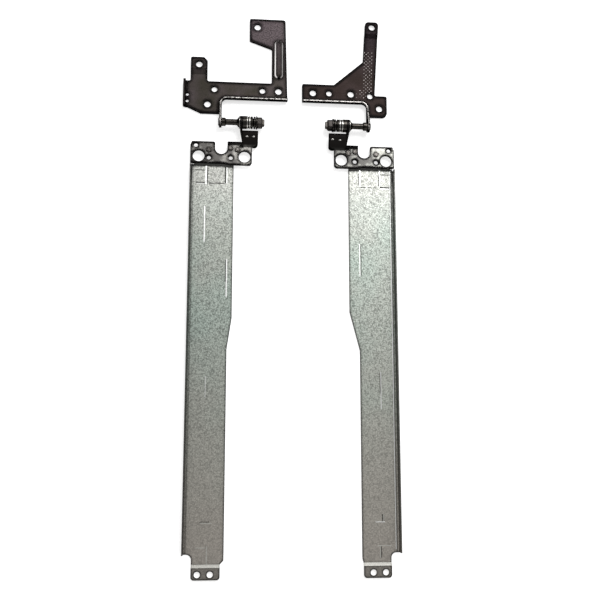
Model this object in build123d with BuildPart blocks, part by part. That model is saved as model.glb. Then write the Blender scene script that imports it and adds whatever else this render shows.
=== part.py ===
from build123d import *
import os

os.makedirs("parts", exist_ok=True)

# A pair of friction hinges for a laptop lid, lying opened flat with the lid rails towards minus Y.
# X runs across the pair, Y from the lid rails to the base brackets, Z up from the bench, in millimetres.
LEFT = -1
RIGHT = 1
SIDE_NAMES = {LEFT: "left", RIGHT: "right"}

# Sheet metal: thickness of each stamping, inside radius of its bends, flat land beside a bend
base_sheet = 1.2
lid_sheet = 1.2
rail_sheet = 0.6
base_bend_inside = 0.5
rail_bend_inside = 0.9
bend_land = 0.3

# How the two hinges lie: free space between the two base brackets, shafts above the bench
pair_gap = 7.3
shaft_height = 4.1

# Inner face of each base ear, in from the outer face of its rail
left_ear_inset = 14.7
right_ear_inset = 13.4

# Both base brackets: distances from the ear's inner face, and up from the shaft axis
left_bar_reach = 32.1
right_bar_reach = 31.7
left_bar_top = 21.8
right_bar_top = 22.3
flange_face = 12.4
flange_height = 3.4
flange_corner_radius = 2.4
base_ear_radius = 2.8
base_corner = 0.8
screw_hole = 3.2
locating_hole = 2.8
bar_hole_line = 17.8

# Left base bracket: lobe and tab outside the ear, post with a head at the end of the bar
left_lobe_outer = 18.8
left_lobe_bottom = 5.3
left_lobe_side_end = 8.3
left_lobe_knee_outset = 14.4
left_lobe_knee_height = 7.2
left_lobe_toe_outset = 10.2
left_lobe_hole_outset = 7.0
left_lobe_hole_line = 10.0
left_lip_height = 3.6
left_lip_hole = 1.6
left_lip_hole_inset = 2.0
left_lip_hole_low = 11.4
left_lip_hole_pitch = 3.3
left_tab_outer = 15.4
left_tab_width = 8.2
left_tab_top = 34.0
left_tab_chamfer = 1.8
left_tab_hole_drop = 3.7
left_tab_ramp_start = 25.3
left_tab_ramp_length = 2.9
left_tab_step = 0.6
left_post_width = 7.7
left_post_lean = 1.0
left_head_width = 18.8
left_head_top = 55.6
left_head_side = 11.8
left_head_slope = 4.0
left_head_corner = 1.1
left_head_hole_inset = 3.9
left_head_hole_drop = 4.3
left_bead_inset = 4.3
left_bead_width = 4.4
left_bead_height = 0.7
left_bead_wall = 0.8
left_bead_bottom = 24.2
left_bead_top = 44.6
left_bead_draft = 45
left_end_hole_inset = 4.4
left_bar_hole_pitch = 7.9
left_ear_hole_outset = 3.7

# Right base bracket: leaning post with a gusset over the ear, lug outside the ear
right_post_top = 56.4
right_post_width = 6.7
right_post_inner = 1.1
right_post_lean = 1.3
right_post_corner = 1.7
right_post_hole_drop = 2.8
right_post_ramp_start = 47.9
right_post_ramp_length = 2.2
right_post_step = 0.6
right_gusset_top = 35.1
right_gusset_run = 14.8
right_lug_outer = 10.6
right_lug_top = 17.3
right_lug_bottom = 6.2
right_lug_corner = 2.5
right_lug_hole_inset = 3.8
right_lug_hole_line = 10.7
right_end_hole_inset = 5.4
right_bar_hole_pitch = 8.0
right_gusset_hole_inset = 7.4
right_ear_hole_outset = 2.2
right_ear_hole_line = 17.1

# Shaft, turned with a collar, a slim neck, a flared shoulder and two flats from there to the tip
shaft_diameter = 3.6
shaft_flats = 2.6
root_diameter = 3.0
peened_head_diameter = 4.2
peened_head_height = 0.4
collar_diameter = 4.0
collar_length = 2.2
collar_chamfer = 0.4
neck_diameter = 2.9
neck_length = 5.2
flare_length = 0.9
shoulder_diameter = 5.0
shoulder_length = 0.2
tip_length = 1.0
tip_chamfer = 0.3

# Friction stack on the shaft, in order from its shoulder
washer_diameter = 6.0
inner_washer_sheet = 0.4
thrust_washer_diameter = 6.2
thrust_washer_sheet = 1.9
friction_washer_sheet = 0.65
spacer_washer_diameter = 5.5
spacer_washer_sheet = 0.5
spring_count = 4
spring_sheet = 0.4
spring_cone = 0.28
end_washer_diameter = 6.4
end_washer_sheet = 0.6
nut_flats = 5.0
nut_height = 2.5
nut_chamfer = 0.35

# Clearances: lid arm on its shaft, film on the arm's faces, keyed washers, driven fits
running_gap = 0.05
face_gap = 0.05
key_gap = 0.05
seat_gap = 0.02

# Lid brackets: distances in from the outer face of the rail, and down from the shaft axis
lid_width = 29.6
lid_top = 9.6
lid_outer_bottom = 20.3
lid_inner_bottom = 21.0
lid_bottom_slope_start = 15.6
lid_bottom_slope_run = 3.4
lid_corner = 0.8
lid_corner_cut = 0.7
lid_corner_drop = 1.8
lid_inner_corner = 1.6
lid_lip_root = 11.2
lid_lip_rise = 0.7
notch_share = 0.2
notch_bottom = 15.7
arm_reach = 32.4
arm_root = 12.0
arm_knee = 9.1
arm_knee_rise = 1.05
arm_shelf = 6.0
arm_shelf_rise = 2.1
arm_end = 4.4
arm_end_rise = 2.5
arm_corner = 1.6
arm_taper = 1.5
arm_taper_start = 3.4
eye_radius = 3.1
boss_hole = 5.6
boss_hole_inset = 4.0
boss_hole_margin = 3.6
boss_hole_line = 16.8
boss_dish = 6.6
lid_screw_hole = 2.0
lid_screw_dish = 3.6
dish_angle = 140
rivet_shank = 1.5
rivet_head = 2.7
rivet_head_height = 0.45
rivet_crown = 0.3

# Small holes of the lid brackets, in and down; the inner ones lie at a share of the plate's width
outer_screw_spots = [(2.6, 11.5), (8.9, 17.6)]
outer_rivet_spots = [(8.9, 13.7)]
inner_screw_rows = [(0.655, 17.5)]
inner_rivet_rows = [(0.65, 12.6), (0.764, 13.4)]

# Lid rails: same directions as the lid brackets
rail_step = 0.9
rail_ramp_start = 20.4
rail_ramp_length = 1.0
rail_flange_height = 4.5
left_rail_wide = 20.9
right_rail_wide = 22.4
left_rail_narrow = 18.7
right_rail_narrow = 17.6
left_rail_taper_start = 95.0
right_rail_taper_start = 91.6
rail_taper_end = 110.0
rail_end = 213.1
rail_notch_run = 4.3
rail_notch_radius = 2.3
rail_chamfer_run = 1.6
tab_length = 6.7
tab_ramp_length = 1.4
tab_step = 1.0
tab_inset = 4.2
tab_width = 12.9
tab_corner = 1.4
tab_hole = 2.7
tab_hole_pitch = 5.7
tab_hole_inset = 2.8
tab_hole_drop = 2.4
head_margin = 0.5
head_wing_margin = 4.4
head_wing_bottom = 19.0

# Worked out from the sizes above; the middle of the whole pair lies over the origin
ear_inset = {LEFT: left_ear_inset, RIGHT: right_ear_inset}
bar_reach = {LEFT: left_bar_reach, RIGHT: right_bar_reach}
rail_wide = {LEFT: left_rail_wide, RIGHT: right_rail_wide}
rail_narrow = {LEFT: left_rail_narrow, RIGHT: right_rail_narrow}
rail_taper_start = {LEFT: left_rail_taper_start, RIGHT: right_rail_taper_start}
tab_ramp_start = rail_end - tab_length
rail_notch = tab_ramp_start - rail_notch_run
rail_chamfer_start = tab_ramp_start - rail_chamfer_run
rail_spread = left_ear_inset + left_bar_reach + pair_gap + right_bar_reach + right_ear_inset
left_overhang = left_lobe_outer - left_ear_inset
shaft_y = (rail_end - max(left_head_top, right_post_top)) / 2
base_bend = base_sheet + base_bend_inside
base_foot = base_bend + bend_land
rail_bend = rail_sheet + rail_bend_inside
rail_foot = rail_bend + bend_land
lid_floor = rail_step + rail_sheet
notch_width = lid_width * notch_share
notch_centre = lid_width / 2
head_wing = lid_width - head_wing_margin
boss_hole_spots = [(boss_hole_inset, boss_hole_line), (lid_width - boss_hole_margin, boss_hole_line)]
lid_screw_spots = outer_screw_spots + [(lid_width * share, below) for share, below in inner_screw_rows]
rivet_spots = outer_rivet_spots + [(lid_width * share, below) for share, below in inner_rivet_rows]
inner_washer_seat = collar_length + neck_length + flare_length + shoulder_length
arm_seat = inner_washer_seat + inner_washer_sheet + face_gap
thrust_washer_seat = arm_seat + lid_sheet + face_gap
first_friction_seat = thrust_washer_seat + thrust_washer_sheet
spacer_seat = first_friction_seat + friction_washer_sheet
second_friction_seat = spacer_seat + spacer_washer_sheet
spring_seat = second_friction_seat + friction_washer_sheet
spring_height = spring_sheet + spring_cone
end_washer_seat = spring_seat + spring_count * spring_height
nut_seat = end_washer_seat + end_washer_sheet
shaft_end = nut_seat + nut_height + tip_length
shaft_line = Axis((0, shaft_y, shaft_height), (1, 0, 0))


def across(side, inset):
    """X of a place so far in from the outer face of one hinge's rail."""
    return side * (rail_spread / 2 - inset) + left_overhang / 2


def lid_point(side, inset, below):
    """Place on a lid half: in from the rail's outer face and down from the shaft axis."""
    return (across(side, inset), shaft_y - below)


def base_point(side, inward, above):
    """Place on a base half: in from the ear's inner face and up from the shaft axis."""
    return (across(side, ear_inset[side] + inward), shaft_y + above)


def stack_plane(side, seat):
    """Plane across the shaft, so far from the ear's inner face, facing away from the ear."""
    origin = (across(side, ear_inset[side] + seat), shaft_y, shaft_height)
    return Plane(origin=origin, x_dir=(0, 1, 0), z_dir=(-side, 0, 0))


def side_plane(*places):
    """Upright plane across X at the lowest of the given places, for a profile drawn in Y and Z."""
    return Plane.YZ.offset(min(places))


def end_plane(y):
    """Upright plane across Y, for a section drawn in X and Z that is extruded towards minus Y."""
    return Plane.XZ.offset(-y)


def outline_face(corners):
    """Flat face with straight sides, its corners rounded where a radius is given."""
    with BuildSketch(Plane.XY) as outline:
        with BuildLine():
            Polyline(*[place for place, radius in corners], close=True)
        make_face()
        for place, radius in corners:
            if radius:
                fillet(outline.vertices().sort_by_distance((*place, 0))[0], radius)
    return outline.sketch


def lid_face(side, corners):
    """Flat face of a lid half, from distances in and down and a radius for each corner."""
    return outline_face([(lid_point(side, inset, below), radius) for inset, below, radius in corners])


def base_face(side, corners):
    """Flat face of a base half, from distances in and up and a radius for each corner."""
    return outline_face([(base_point(side, inward, above), radius) for inward, above, radius in corners])


def bent_edge_face(face, step, sheet, inside, height):
    """Section of a sheet bent up at its edge: wall at face, foot running into the plate along step."""
    foot = sheet + inside + bend_land
    corners = [
        ((face, height), 0),
        ((face, 0), sheet + inside),
        ((face + step * foot, 0), 0),
        ((face + step * foot, sheet), 0),
        ((face + step * sheet, sheet), inside),
        ((face + step * sheet, height), 0),
    ]
    return outline_face(corners)


def ramp_face(start, end, rise, sheet):
    """Section of a sheet that steps up from one place in Y to another."""
    return outline_face([((start, 0), 0), ((end, rise), 0), ((end, rise + sheet), 0), ((start, sheet), 0)])


def write(builder, name):
    """Name a finished piece and write it."""
    builder.part.label = name
    export_step(builder.part, f"parts/{name}.step")


def make_edge_wall(side, plate_end):
    """Turned up edge of a base bracket: flange along the bar, round corner, and ear for the shaft."""
    ear_x = across(side, ear_inset[side])
    corner_x, corner_y = base_point(side, flange_corner_radius, flange_face - flange_corner_radius)
    bar_end_x = across(side, ear_inset[side] + bar_reach[side])
    plate_end_y = shaft_y + plate_end
    with BuildPart() as wall:
        with BuildSketch(side_plane(corner_x, bar_end_x)):
            add(bent_edge_face(shaft_y + flange_face, 1, base_sheet, base_bend_inside, flange_height))
        extrude(amount=abs(bar_end_x - corner_x))
        with BuildSketch(end_plane(corner_y)) as ear_root:
            add(bent_edge_face(ear_x, side, base_sheet, base_bend_inside, flange_height))
        extrude(ear_root.sketch, amount=corner_y - plate_end_y)
        turn = Axis((corner_x, corner_y, 0), (0, 0, side))
        revolve(ear_root.sketch, axis=turn, revolution_arc=90)
        with BuildSketch(side_plane(ear_x, ear_x + side * base_sheet)):
            with Locations((shaft_y, shaft_height)):
                Circle(base_ear_radius)
            with Locations((plate_end_y, base_bend)):
                Rectangle(corner_y - plate_end_y, flange_height - base_bend, align=Align.MIN)
            make_hull()
            with Locations((shaft_y, shaft_height)):
                Circle(root_diameter / 2 + seat_gap, mode=Mode.SUBTRACT)
        extrude(amount=base_sheet)
    return wall


# Left base bracket: one stamping with a tab, a lobe with a turned up lip, and a beaded post
left_post_inner = left_bar_reach - left_post_width
left_head_inner = left_bar_reach - left_head_width
left_tab_inner = left_tab_width - left_tab_outer
left_lip_foot = base_foot - left_lobe_outer
left_outline = [
    (left_bar_reach, flange_face + base_foot, 0),
    (left_bar_reach - left_post_lean, left_head_top, left_head_corner),
    (left_head_inner, left_head_top, base_corner),
    (left_head_inner, left_head_top - left_head_side, base_corner),
    (left_post_inner, left_head_top - left_head_side - left_head_slope, base_corner),
    (left_post_inner, left_bar_top, base_corner),
    (left_tab_inner, left_bar_top, base_corner),
    (left_tab_inner, left_tab_ramp_start, 0),
    (-left_tab_outer, left_tab_ramp_start, 0),
    (-left_tab_outer, left_bar_top, base_corner),
    (left_lip_foot, left_bar_top, 0),
    (left_lip_foot, left_lobe_side_end, 0),
    (-left_lobe_knee_outset, left_lobe_knee_height, 0),
    (-left_lobe_toe_outset, left_lobe_bottom, 0),
    (-base_foot, left_lobe_bottom, 0),
    (-base_foot, flange_face + base_foot, flange_corner_radius + base_foot),
]
left_tab_ramp_end = left_tab_ramp_start + left_tab_ramp_length
left_tab_outline = [
    (left_tab_inner, left_tab_ramp_end, 0),
    (left_tab_inner, left_tab_top, 0),
    (-left_tab_outer, left_tab_top, base_corner),
    (-left_tab_outer, left_tab_ramp_end, 0),
]
left_tab_side = across(LEFT, left_ear_inset - left_tab_outer)
bead_middle = left_bar_reach - left_bead_inset
bead_length = left_bead_top - left_bead_bottom
bead_place = base_point(LEFT, bead_middle, left_bead_bottom + bead_length / 2)
lip_x = across(LEFT, left_ear_inset - left_lobe_outer)
left_end_hole = left_bar_reach - left_end_hole_inset
left_screws = [
    (left_tab_inner - left_tab_width / 2, left_tab_top - left_tab_hole_drop),
    (left_head_inner + left_head_hole_inset, left_head_top - left_head_hole_drop),
    (left_end_hole, bar_hole_line),
    (-left_lobe_hole_outset, left_lobe_hole_line),
]
left_locators = [
    (-left_ear_hole_outset, bar_hole_line),
    (left_end_hole - left_bar_hole_pitch, bar_hole_line),
]
left_lip_holes = [
    (left_lip_hole_inset - left_lobe_outer, left_lip_hole_low),
    (left_lip_hole_inset - left_lobe_outer, left_lip_hole_low + left_lip_hole_pitch),
]

with BuildPart() as left_base_bracket:
    with BuildSketch():
        add(base_face(LEFT, left_outline))
    extrude(amount=base_sheet)
    with BuildSketch(side_plane(left_tab_side)):
        tab_ramp = (shaft_y + left_tab_ramp_start, shaft_y + left_tab_ramp_end)
        add(ramp_face(*tab_ramp, left_tab_step, base_sheet))
    extrude(amount=left_tab_width)
    with BuildSketch(Plane.XY.offset(left_tab_step)) as tab_plate:
        add(base_face(LEFT, left_tab_outline))
        tab_tip = (*base_point(LEFT, left_tab_inner, left_tab_top), left_tab_step)
        chamfer(tab_plate.vertices().sort_by_distance(tab_tip)[0], left_tab_chamfer)
    extrude(amount=base_sheet)
    with BuildSketch(end_plane(shaft_y + left_bar_top)):
        add(bent_edge_face(lip_x, 1, base_sheet, base_bend_inside, left_lip_height))
    extrude(amount=left_bar_top - left_lobe_side_end)
    add(make_edge_wall(LEFT, left_lobe_bottom).part)
    with BuildSketch(Plane.XY.offset(base_sheet)):
        with Locations(bead_place):
            SlotOverall(bead_length, left_bead_width, rotation=90)
    extrude(amount=left_bead_height, taper=left_bead_draft)
    with BuildSketch():
        with Locations(bead_place):
            SlotOverall(bead_length - 2 * left_bead_wall, left_bead_width - 2 * left_bead_wall, rotation=90)
    extrude(amount=left_bead_height, mode=Mode.SUBTRACT)
    with BuildSketch():
        with Locations(*[base_point(LEFT, inward, above) for inward, above in left_screws]):
            Circle(screw_hole / 2)
        with Locations(*[base_point(LEFT, inward, above) for inward, above in left_locators]):
            Circle(locating_hole / 2)
        with Locations(*[base_point(LEFT, inward, above) for inward, above in left_lip_holes]):
            Circle(left_lip_hole / 2)
    extrude(amount=base_bend + left_tab_step, mode=Mode.SUBTRACT)
write(left_base_bracket, "left_base_bracket")

# Right base bracket: one stamping with a leaning post, a gusset and a lug
right_lean_rate = right_post_lean / (right_post_top - right_gusset_top)
right_post_tip = right_post_inner - right_post_lean
right_foot_lean = right_lean_rate * (right_gusset_top - right_lug_top)
right_post_outer_foot = right_post_inner - right_post_width + right_foot_lean
right_outline = [
    (right_bar_reach, flange_face + base_foot, 0),
    (right_bar_reach, right_bar_top, base_corner),
    (right_post_inner + right_gusset_run, right_bar_top, base_corner),
    (right_post_inner, right_gusset_top, base_corner),
    (right_post_tip, right_post_top, right_post_corner),
    (right_post_tip - right_post_width, right_post_top, right_post_corner),
    (right_post_outer_foot, right_lug_top, base_corner),
    (-right_lug_outer, right_lug_top, base_corner),
    (-right_lug_outer, right_lug_bottom, right_lug_corner),
    (-base_foot, right_lug_bottom, 0),
    (-base_foot, flange_face + base_foot, flange_corner_radius + base_foot),
]

right_post_ramp_end = right_post_ramp_start + right_post_ramp_length
right_side_profile = [
    (right_lug_bottom, 0),
    (right_post_ramp_start, 0),
    (right_post_ramp_end, right_post_step),
    (right_post_top, right_post_step),
    (right_post_top, right_post_step + base_sheet),
    (right_post_ramp_end, right_post_step + base_sheet),
    (right_post_ramp_start, base_sheet),
    (right_lug_bottom, base_sheet),
]
right_end_hole = right_bar_reach - right_end_hole_inset
right_screws = [
    (right_post_tip - right_post_width / 2, right_post_top - right_post_hole_drop),
    (right_end_hole, bar_hole_line),
    (right_gusset_hole_inset, bar_hole_line),
    (right_lug_hole_inset - right_lug_outer, right_lug_hole_line),
]
right_locators = [
    (right_end_hole - right_bar_hole_pitch, bar_hole_line),
    (-right_ear_hole_outset, right_ear_hole_line),
]

with BuildPart() as right_base_bracket:
    with BuildSketch():
        add(base_face(RIGHT, right_outline))
    extrude(amount=base_sheet + right_post_step)
    with BuildSketch(side_plane(across(RIGHT, right_ear_inset + right_bar_reach))):
        add(outline_face([((shaft_y + above, rise), 0) for above, rise in right_side_profile]))
    extrude(amount=right_bar_reach + right_lug_outer, mode=Mode.INTERSECT)
    add(make_edge_wall(RIGHT, right_lug_bottom).part)
    with BuildSketch():
        with Locations(*[base_point(RIGHT, inward, above) for inward, above in right_screws]):
            Circle(screw_hole / 2)
        with Locations(*[base_point(RIGHT, inward, above) for inward, above in right_locators]):
            Circle(locating_hole / 2)
    extrude(amount=base_bend + right_post_step, mode=Mode.SUBTRACT)
write(right_base_bracket, "right_base_bracket")


def make_shaft(side):
    """Turned shaft, peened over outside the base ear, with two flats for the keyed washers."""
    root_end = -base_sheet
    neck_end = collar_length + neck_length
    shoulder_start = neck_end + flare_length
    profile = [
        (root_end - peened_head_height, 0),
        (root_end - peened_head_height, peened_head_diameter / 2 - peened_head_height),
        (root_end, peened_head_diameter / 2),
        (root_end, root_diameter / 2),
        (0, root_diameter / 2),
        (0, collar_diameter / 2),
        (collar_length - collar_chamfer, collar_diameter / 2),
        (collar_length, neck_diameter / 2),
        (neck_end, neck_diameter / 2),
        (shoulder_start, shoulder_diameter / 2),
        (inner_washer_seat, shoulder_diameter / 2),
        (inner_washer_seat, shaft_diameter / 2),
        (shaft_end - tip_chamfer, shaft_diameter / 2),
        (shaft_end, shaft_diameter / 2 - tip_chamfer),
        (shaft_end, 0),
    ]
    with BuildPart() as shaft:
        with BuildSketch(Plane.XY.offset(shaft_height)):
            with BuildLine():
                Polyline(*[base_point(side, along, radius) for along, radius in profile], close=True)
            make_face()
        revolve(axis=shaft_line)
        with BuildSketch(stack_plane(side, inner_washer_seat)):
            with GridLocations(0, shaft_flats + shaft_diameter, 1, 2):
                Rectangle(2 * shaft_diameter, shaft_diameter)
        extrude(amount=shaft_end - inner_washer_seat, mode=Mode.SUBTRACT)
    return shaft


def make_keyed_washer(side, seat, diameter, sheet):
    """Flat washer with a hole that fits the flats of the shaft, so it turns with the shaft."""
    with BuildPart() as washer:
        with BuildSketch(stack_plane(side, seat)):
            Circle(diameter / 2)
        extrude(amount=sheet)
        with BuildSketch(stack_plane(side, seat)):
            Circle(shaft_diameter / 2 + key_gap)
            Rectangle(2 * shaft_diameter, shaft_flats + 2 * key_gap, mode=Mode.INTERSECT)
        extrude(amount=sheet, mode=Mode.SUBTRACT)
    return washer


def make_disc_springs(side):
    """Cone shaped spring washers, set rim to rim and then hole to hole along the shaft."""
    hole = shaft_diameter / 2 + key_gap
    rim = washer_diameter / 2
    thickness = spring_sheet - seat_gap
    with BuildPart() as springs:
        for number in range(spring_count):
            start = spring_seat + number * spring_height
            hole_start = start + spring_cone * (number % 2)
            rim_start = start + spring_cone * (1 - number % 2)
            section = [
                (hole_start, hole),
                (rim_start, rim),
                (rim_start + thickness, rim),
                (hole_start + thickness, hole),
            ]
            with BuildSketch(Plane.XY.offset(shaft_height)):
                with BuildLine():
                    Polyline(*[base_point(side, along, radius) for along, radius in section], close=True)
                make_face()
            revolve(axis=shaft_line)
    return springs


def make_lock_nut(side):
    """Hexagon nut that holds the stack together, chamfered on its outer end."""
    with BuildPart() as nut:
        with BuildSketch(stack_plane(side, nut_seat)):
            RegularPolygon(nut_flats / 2, 6, major_radius=False)
        extrude(amount=nut_height)
        outer_end = nut.faces().sort_by(Axis.X, reverse=side == LEFT)[0]
        chamfer(outer_end.edges(), nut_chamfer)
        with BuildSketch(stack_plane(side, nut_seat)):
            Circle(shaft_diameter / 2 + seat_gap)
        extrude(amount=nut_height, mode=Mode.SUBTRACT)
    return nut


def make_lid_bracket(side):
    """Lid bracket, one stamping: plate, raised arm beside it, and the arm's ear round the shaft."""
    arm_side = ear_inset[side] + arm_seat
    arm_x = across(side, arm_side)
    ear_far_x = across(side, arm_side + lid_sheet)
    arm_far_x = across(side, arm_reach)
    notch_left = notch_centre - notch_width / 2
    notch_right = notch_centre + notch_width / 2
    outline = [
        (0, lid_top + lid_corner_drop, 0),
        (lid_corner_cut, lid_top, 0),
        (notch_left, lid_top, lid_corner),
        (notch_left, notch_bottom - notch_width / 2, 0),
        (notch_right, notch_bottom - notch_width / 2, 0),
        (notch_right, lid_lip_root, 0),
        (arm_side, lid_lip_root, 0),
        (arm_side, arm_root, 0),
        (lid_width, arm_root, 0),
        (lid_width, lid_inner_bottom, lid_inner_corner),
        (lid_bottom_slope_start + lid_bottom_slope_run, lid_inner_bottom, 0),
        (lid_bottom_slope_start, lid_outer_bottom, 0),
        (0, lid_outer_bottom, 0),
    ]
    arm_taper_outline = [
        (arm_side, arm_taper_start, 0),
        (arm_side + arm_taper, arm_root, 0),
        (arm_side, arm_root, 0),
    ]
    arm_line = [
        (arm_root, 0),
        (arm_knee, arm_knee_rise),
        (arm_shelf, arm_shelf_rise),
        (arm_end, arm_end_rise),
    ]
    under = [(shaft_y - below, lid_floor + rise) for below, rise in arm_line]
    over = [(y, z + lid_sheet) for y, z in reversed(under)]
    lip_section = [
        ((shaft_y - lid_lip_root, lid_floor), 0),
        ((shaft_y - lid_top, lid_floor + lid_lip_rise), 0),
        ((shaft_y - lid_top, lid_floor + lid_lip_rise + lid_sheet), 0),
        ((shaft_y - lid_lip_root, lid_floor + lid_sheet), 0),
    ]
    lip_end = arm_side + arm_taper

    with BuildPart() as bracket:
        with BuildSketch(side_plane(arm_x, arm_far_x)):
            with BuildLine():
                Polyline(*under, *over, close=True)
            make_face()
        extrude(amount=arm_reach - arm_side)
        root_edges = bracket.edges().filter_by(Axis.Z).group_by(Axis.Y)[0]
        fillet(root_edges.sort_by(Axis.X, reverse=side == LEFT)[0], arm_corner)
        with BuildSketch(side_plane(arm_x, ear_far_x)):
            with Locations((shaft_y, shaft_height)):
                Circle(eye_radius)
            with BuildLine():
                Polyline(under[1], under[2], over[1], over[2], close=True)
            make_face()
            make_hull()
        extrude(amount=lid_sheet)
        with BuildSketch(side_plane(arm_x, ear_far_x)):
            with Locations((shaft_y, shaft_height)):
                Circle(shaft_diameter / 2 + running_gap)
        extrude(amount=lid_sheet, mode=Mode.SUBTRACT)
        with BuildSketch(Plane.XY):
            add(lid_face(side, arm_taper_outline))
        extrude(amount=shaft_height + eye_radius, mode=Mode.SUBTRACT)
        with BuildSketch(Plane.XY.offset(lid_floor)):
            add(lid_face(side, outline))
            with Locations(lid_point(side, notch_centre, notch_bottom - notch_width / 2)):
                Circle(notch_width / 2, mode=Mode.SUBTRACT)
            with Locations(*[lid_point(side, a, b) for a, b in rivet_spots]):
                Circle(rivet_shank / 2 + seat_gap, mode=Mode.SUBTRACT)
        extrude(amount=lid_sheet)
        with BuildSketch(side_plane(across(side, notch_right), across(side, lip_end))):
            add(outline_face(lip_section))
        extrude(amount=lip_end - notch_right)
        with Locations(Plane.XY.offset(lid_floor + lid_sheet)):
            with Locations(*[lid_point(side, a, b) for a, b in boss_hole_spots]):
                CounterSinkHole(boss_hole / 2, boss_dish / 2, lid_sheet, dish_angle)
            with Locations(*[lid_point(side, a, b) for a, b in lid_screw_spots]):
                CounterSinkHole(lid_screw_hole / 2, lid_screw_dish / 2, lid_sheet, dish_angle)
    return bracket


def make_lid_rivets(side):
    """Rivets that hold the rail's head under the lid bracket, with a round and a flat head."""
    with BuildPart() as rivets:
        places = [lid_point(side, a, b) for a, b in rivet_spots]
        with BuildSketch(Plane.XY.offset(lid_floor + lid_sheet)):
            with Locations(*places):
                Circle(rivet_head / 2)
        extrude(amount=rivet_head_height)
        fillet(rivets.edges().group_by(Axis.Z)[-1], rivet_crown)
        with BuildSketch(Plane.XY.offset(rail_step)):
            with Locations(*places):
                Circle(rivet_shank / 2)
        extrude(amount=rail_sheet + lid_sheet)
        with BuildSketch(Plane.XY.offset(rail_step)):
            with Locations(*places):
                Circle(rivet_head / 2)
        extrude(amount=-rivet_head_height)
    return rivets


def make_rail(side):
    """Lid rail, one stamping: head stepped up under the lid bracket, long web with a turned up
    outer edge that narrows part way, and a stepped up end tab with two screw holes."""
    wide = rail_wide[side]
    narrow = rail_narrow[side]
    web_start = rail_ramp_start + rail_ramp_length
    tab_start = tab_ramp_start + tab_ramp_length
    tab_far = tab_inset + tab_width
    web_outline = [
        (rail_foot, web_start, 0),
        (rail_foot, rail_notch, 0),
        (tab_inset, rail_notch, rail_notch_radius),
        (tab_inset, tab_ramp_start, 0),
        (tab_far, tab_ramp_start, 0),
        (narrow, rail_chamfer_start, 0),
        (narrow, rail_taper_end, 0),
        (wide, rail_taper_start[side], 0),
        (wide, web_start, 0),
    ]
    tab_outline = [
        (tab_inset, tab_start, 0),
        (tab_inset, rail_end, tab_corner),
        (tab_far, rail_end, tab_corner),
        (tab_far, tab_start, 0),
    ]
    notch_left = notch_centre - notch_width / 2 - head_margin
    notch_right = notch_centre + notch_width / 2 + head_margin
    head_top = lid_top + head_margin
    head_outline = [
        (head_margin, rail_ramp_start, 0),
        (head_margin, head_top, 0),
        (notch_left, head_top, 0),
        (notch_left, notch_bottom + head_margin, 0),
        (notch_right, notch_bottom + head_margin, 0),
        (notch_right, head_top, 0),
        (head_wing, head_top, 0),
        (head_wing, head_wing_bottom, 0),
        (wide, rail_ramp_start, 0),
    ]
    with BuildPart() as rail:
        with BuildSketch():
            add(lid_face(side, web_outline))
        extrude(amount=rail_sheet)
        with BuildSketch(end_plane(shaft_y - web_start)):
            add(bent_edge_face(across(side, 0), -side, rail_sheet, rail_bend_inside, rail_flange_height))
        extrude(amount=rail_notch - web_start)
        with BuildSketch(side_plane(across(side, rail_foot), across(side, wide))):
            add(ramp_face(shaft_y - web_start, shaft_y - rail_ramp_start, rail_step, rail_sheet))
        extrude(amount=wide - rail_foot)
        with BuildSketch(side_plane(across(side, tab_inset), across(side, tab_far))):
            add(ramp_face(shaft_y - tab_ramp_start, shaft_y - tab_start, tab_step, rail_sheet))
        extrude(amount=tab_width)
        with BuildSketch(Plane.XY.offset(tab_step)):
            add(lid_face(side, tab_outline))
            first_hole = tab_inset + tab_hole_inset
            hole_row = rail_end - tab_hole_drop
            with Locations(*[lid_point(side, first_hole + n * tab_hole_pitch, hole_row) for n in range(2)]):
                Circle(tab_hole / 2, mode=Mode.SUBTRACT)
        extrude(amount=rail_sheet)
        with BuildSketch(Plane.XY.offset(rail_step)):
            add(lid_face(side, head_outline))
            with Locations(*[lid_point(side, a, b) for a, b in boss_hole_spots]):
                Circle(boss_hole / 2 + head_margin, mode=Mode.SUBTRACT)
            with Locations(*[lid_point(side, a, b) for a, b in lid_screw_spots]):
                Circle(lid_screw_hole / 2 + head_margin, mode=Mode.SUBTRACT)
            with Locations(*[lid_point(side, a, b) for a, b in rivet_spots]):
                Circle(rivet_shank / 2 + seat_gap, mode=Mode.SUBTRACT)
        extrude(amount=rail_sheet)
    return rail


for side, hinge in SIDE_NAMES.items():
    write(make_shaft(side), f"{hinge}_shaft")
    inner_washer = make_keyed_washer(side, inner_washer_seat, washer_diameter, inner_washer_sheet)
    write(inner_washer, f"{hinge}_inner_washer")
    thrust_washer = make_keyed_washer(side, thrust_washer_seat, thrust_washer_diameter, thrust_washer_sheet)
    write(thrust_washer, f"{hinge}_thrust_washer")
    first_friction = make_keyed_washer(side, first_friction_seat, washer_diameter, friction_washer_sheet)
    write(first_friction, f"{hinge}_first_friction_washer")
    spacer = make_keyed_washer(side, spacer_seat, spacer_washer_diameter, spacer_washer_sheet)
    write(spacer, f"{hinge}_spacer_washer")
    second_friction = make_keyed_washer(side, second_friction_seat, washer_diameter, friction_washer_sheet)
    write(second_friction, f"{hinge}_second_friction_washer")
    write(make_disc_springs(side), f"{hinge}_disc_springs")
    end_washer = make_keyed_washer(side, end_washer_seat, end_washer_diameter, end_washer_sheet)
    write(end_washer, f"{hinge}_end_washer")
    write(make_lock_nut(side), f"{hinge}_lock_nut")
    write(make_lid_bracket(side), f"{hinge}_lid_bracket")
    write(make_lid_rivets(side), f"{hinge}_lid_rivets")
    write(make_rail(side), f"{hinge}_rail")
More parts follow.
